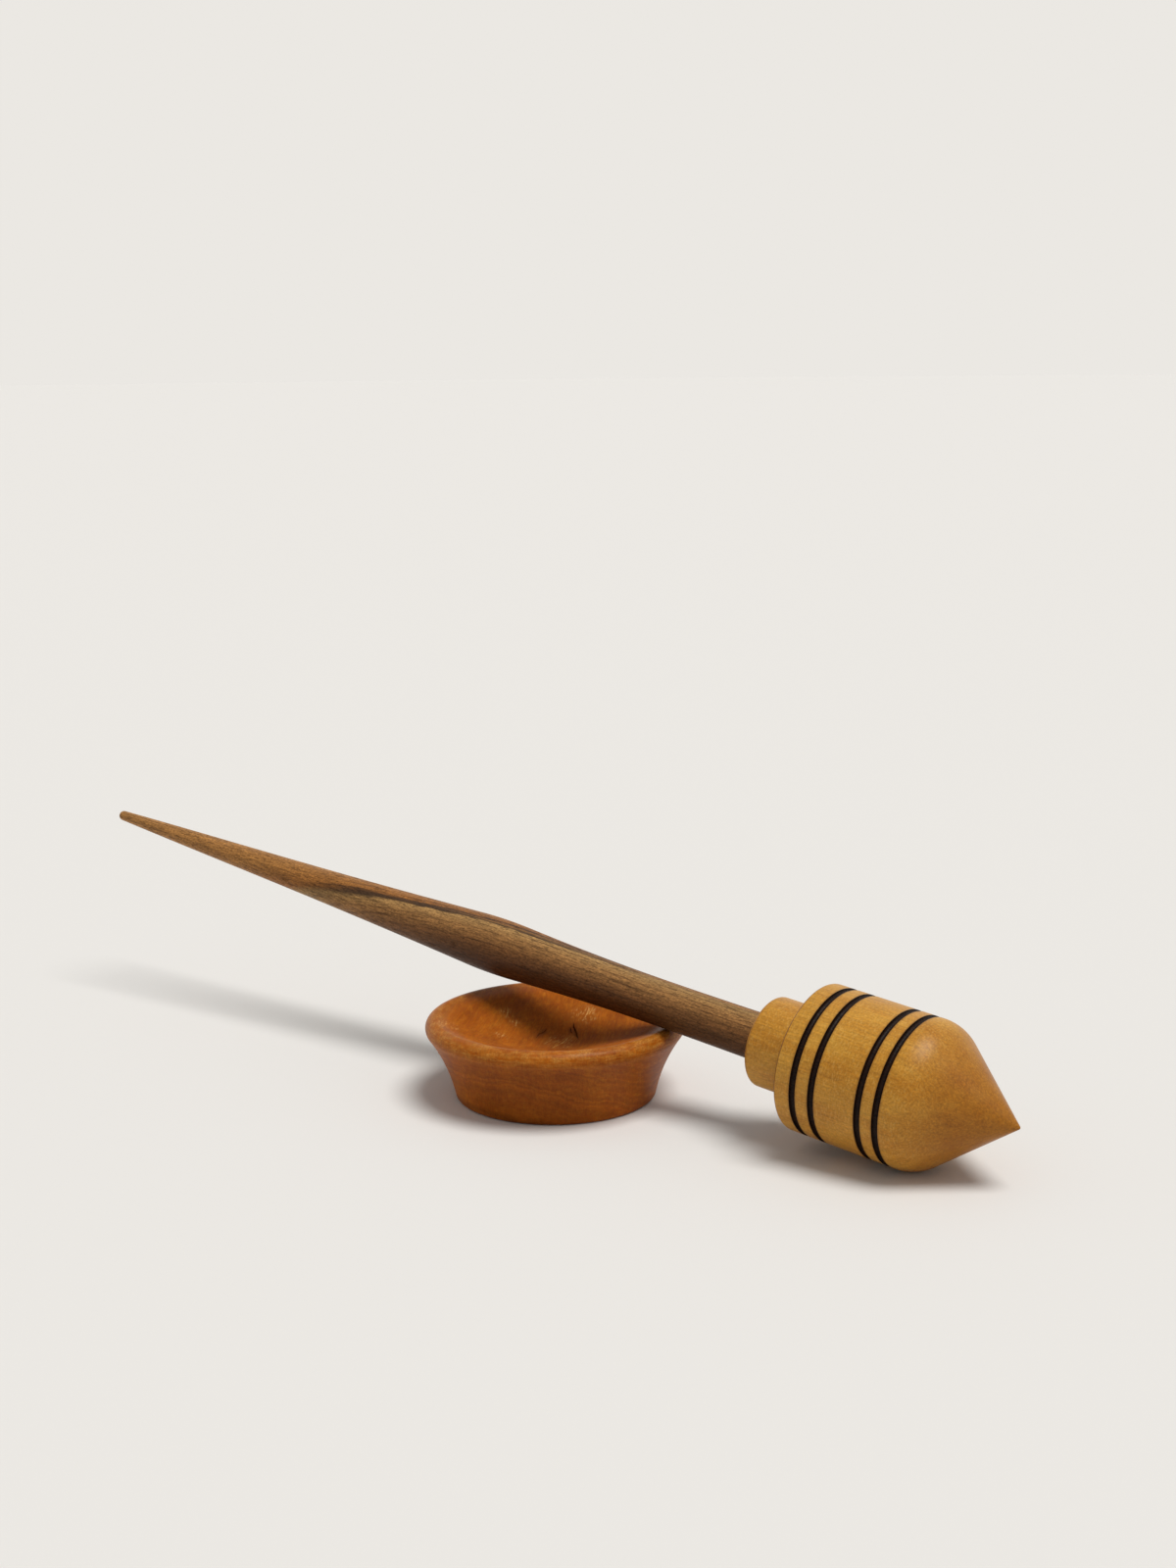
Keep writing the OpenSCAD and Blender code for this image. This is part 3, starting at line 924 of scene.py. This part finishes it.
# %% Pear for the bowl
def oiled_pear():
    """Orange-brown fruitwood, fibres across the dish, with wear and painted sheen on the rim, scuffed
    inside.
    """
    finish, tree = new_finish("oiled pear")
    block, grain = block_axes(tree)
    axes = add(tree, "SeparateXYZ", {"Vector": grain}).node.outputs
    reach = from_axis(tree, axes)
    # soft clouds of colour about a centimetre across, with a golden figure in them
    cloud = patches(tree, grain, (14.0, 8.0, 8.0), 0.0, 1.0, detail=5.0)
    orange = [(0.0, "#8a4205"), (1.0, "#ab5d10"), (0.5, "#9b4f08")]
    tone = add(tree, "ValToRGB", {"Fac": cloud}, stops=orange)
    figure = patches(tree, grain, (4.5, 1.1, 1.4), 0.0, 0.22, sharp=(0.46, 0.74))
    wall = bowl_wall(tree, axes, reach)
    ends = wall_ends(tree, axes, reach, wall)
    handled = handled_rim(tree, axes, reach)
    # the rim's pale streaks and specks: partly wear, partly painted sheen
    wear_and_sheen = pale_wear_and_sheen(tree, block, handled)
    for amount, tint in ((figure, "#cf8826"), (ends, "#6b3206"), (wear_and_sheen, "#bf853c")):
        layer = {"Factor": amount, "A": tone, "B": linear(tint)}
        tone = add(tree, "Mix", layer, data_type="RGBA")
    # fibres: fine streaks across the dish, drawn 0.45 mm wide so that they show
    fibre = patches(tree, grain, (14.0, 0.45, 0.45), 0.86, 1.13)
    # rays: dashes 2 mm long that stand upright in the block, drawn 0.35 mm wide
    ray = patches(tree, grain, (1.8, 0.35, 2.6), 0.9, 1.11, detail=2.0)
    ring = growth_rings(tree, grain, axes)
    clear = add(tree, "MapRange", {"Value": wall, "To Min": 0.5, "To Max": 1.0})
    for amount, pattern in ((clear, ring), (1.0, fibre), (1.0, ray)):
        layer = {"Factor": amount, "A": tone, "B": pattern}
        tone = add(tree, "Mix", layer, data_type="RGBA", blend_type="MULTIPLY")
    for amount, tint in ((soaked_oil(tree, block), "#5c2a06"), (pale_flecks(tree, block), "#e0ab62")):
        layer = {"Factor": amount, "A": tone, "B": linear(tint)}
        tone = add(tree, "Mix", layer, data_type="RGBA")
    tool = tool_marks(tree, axes, reach, 0.5, 0.96, 1.04)
    marks = {"Factor": 1.0, "A": tone, "B": tool}
    tone = add(tree, "Mix", marks, data_type="RGBA", blend_type="MULTIPLY")
    deep = add(tree, "Math", {0: fibre, 1: 0.5, 2: tool}, operation="MULTIPLY_ADD")
    relief = add(tree, "Bump", {"Height": deep, "Strength": 0.2, "Distance": 0.05 * MM})
    # satin all over, duller in the scuffed dish, and even on the rim that hands rub
    rough = add(tree, "MapRange", {"Value": cloud, "To Min": 0.38, "To Max": 0.48})
    rough = add(tree, "Math", {0: rough, 1: scuffed_dish(tree, axes, reach)}, operation="ADD")
    rough = add(tree, "Mix", {"Factor": handled, "A": rough, "B": 0.4})
    oil(tree, tone, rough, relief, sheen=0.11)
    return finish


dress(bowl, oiled_pear(), "bowl", "bowl")

# %% [markdown]
# ## Floor, light and background
# The floor is a plain pale surface that keeps the object's shadow. One wide soft light stands almost
# overhead, a little to the right, as the shaft's shadow in the dish shows. A sun lamp with a wide
# angle gives that softness and lights the floor evenly out to the horizon, where a nearby area
# light would leave it grey. The world fills in from all round, and camera and glossy rays see it in
# the floor's own tone, which takes the place of a backdrop from every side.

# %% Floor
FLOOR_TONE = "#e6e3de"
FLOOR_R = 9.0
bpy.ops.object.select_all(action="DESELECT")
bpy.ops.mesh.primitive_circle_add(vertices=96, radius=FLOOR_R, fill_type="NGON", location=(0, 0, 0))
floor = bpy.context.object
floor.name = "floor"
floor_finish, tree = new_finish("pale matt floor")
paper = {"Base Color": linear(FLOOR_TONE), "Roughness": 0.9, "Specular IOR Level": 0.2}
add(tree, "OutputMaterial", {"Surface": add(tree, "BsdfPrincipled", paper)})
floor.data.materials.append(floor_finish)
print(f"the floor reaches {FLOOR_R:.0f} m from the bowl")

# %% Light
LIGHT_FROM = Vector((0.36, 0.02, 1.0)).normalized()
LIGHT_ANGLE = math.radians(30)
LIGHT_LEVEL = 0.7
FILL_LEVEL = 0.35
key_data = bpy.data.lights.new("soft_key", "SUN")
key_data.angle = LIGHT_ANGLE
key_data.energy = LIGHT_LEVEL * math.pi / LIGHT_FROM.z
key = bpy.data.objects.new("soft_key", key_data)
bpy.context.scene.collection.objects.link(key)
key.rotation_euler = LIGHT_FROM.to_track_quat("Z", "Y").to_euler()
print(f"the light stands {math.degrees(math.acos(LIGHT_FROM.z)):.0f} degrees from overhead")

# %% World
world = bpy.data.worlds.new("studio")
bpy.context.scene.world = world
world.use_nodes = True
tree = world.node_tree
tree.nodes.clear()
rays = add(tree, "LightPath").node.outputs
seen = add(tree, "Math", {0: rays["Is Camera Ray"], 1: rays["Is Glossy Ray"]}, operation="MAXIMUM")
seen = add(tree, "Math", {0: seen, 1: rays["Is Transmission Ray"]}, operation="MAXIMUM")
fill = add(tree, "Background", {"Color": linear("#ffffff"), "Strength": FILL_LEVEL})
bright = {"Color": linear(FLOOR_TONE), "Strength": LIGHT_LEVEL + FILL_LEVEL}
backdrop = add(tree, "Background", bright)
add(tree, "OutputWorld", {"Surface": add(tree, "MixShader", {0: seen, 1: fill, 2: backdrop})})
print(f"the world fills in at {FILL_LEVEL / LIGHT_LEVEL:.0%} of the light's level")

# %% [markdown]
# ## Colours as written
# Standard view transform keeps the colours as they were written.

# %% Keep the colours as written
bpy.context.scene.view_settings.view_transform = "Standard"
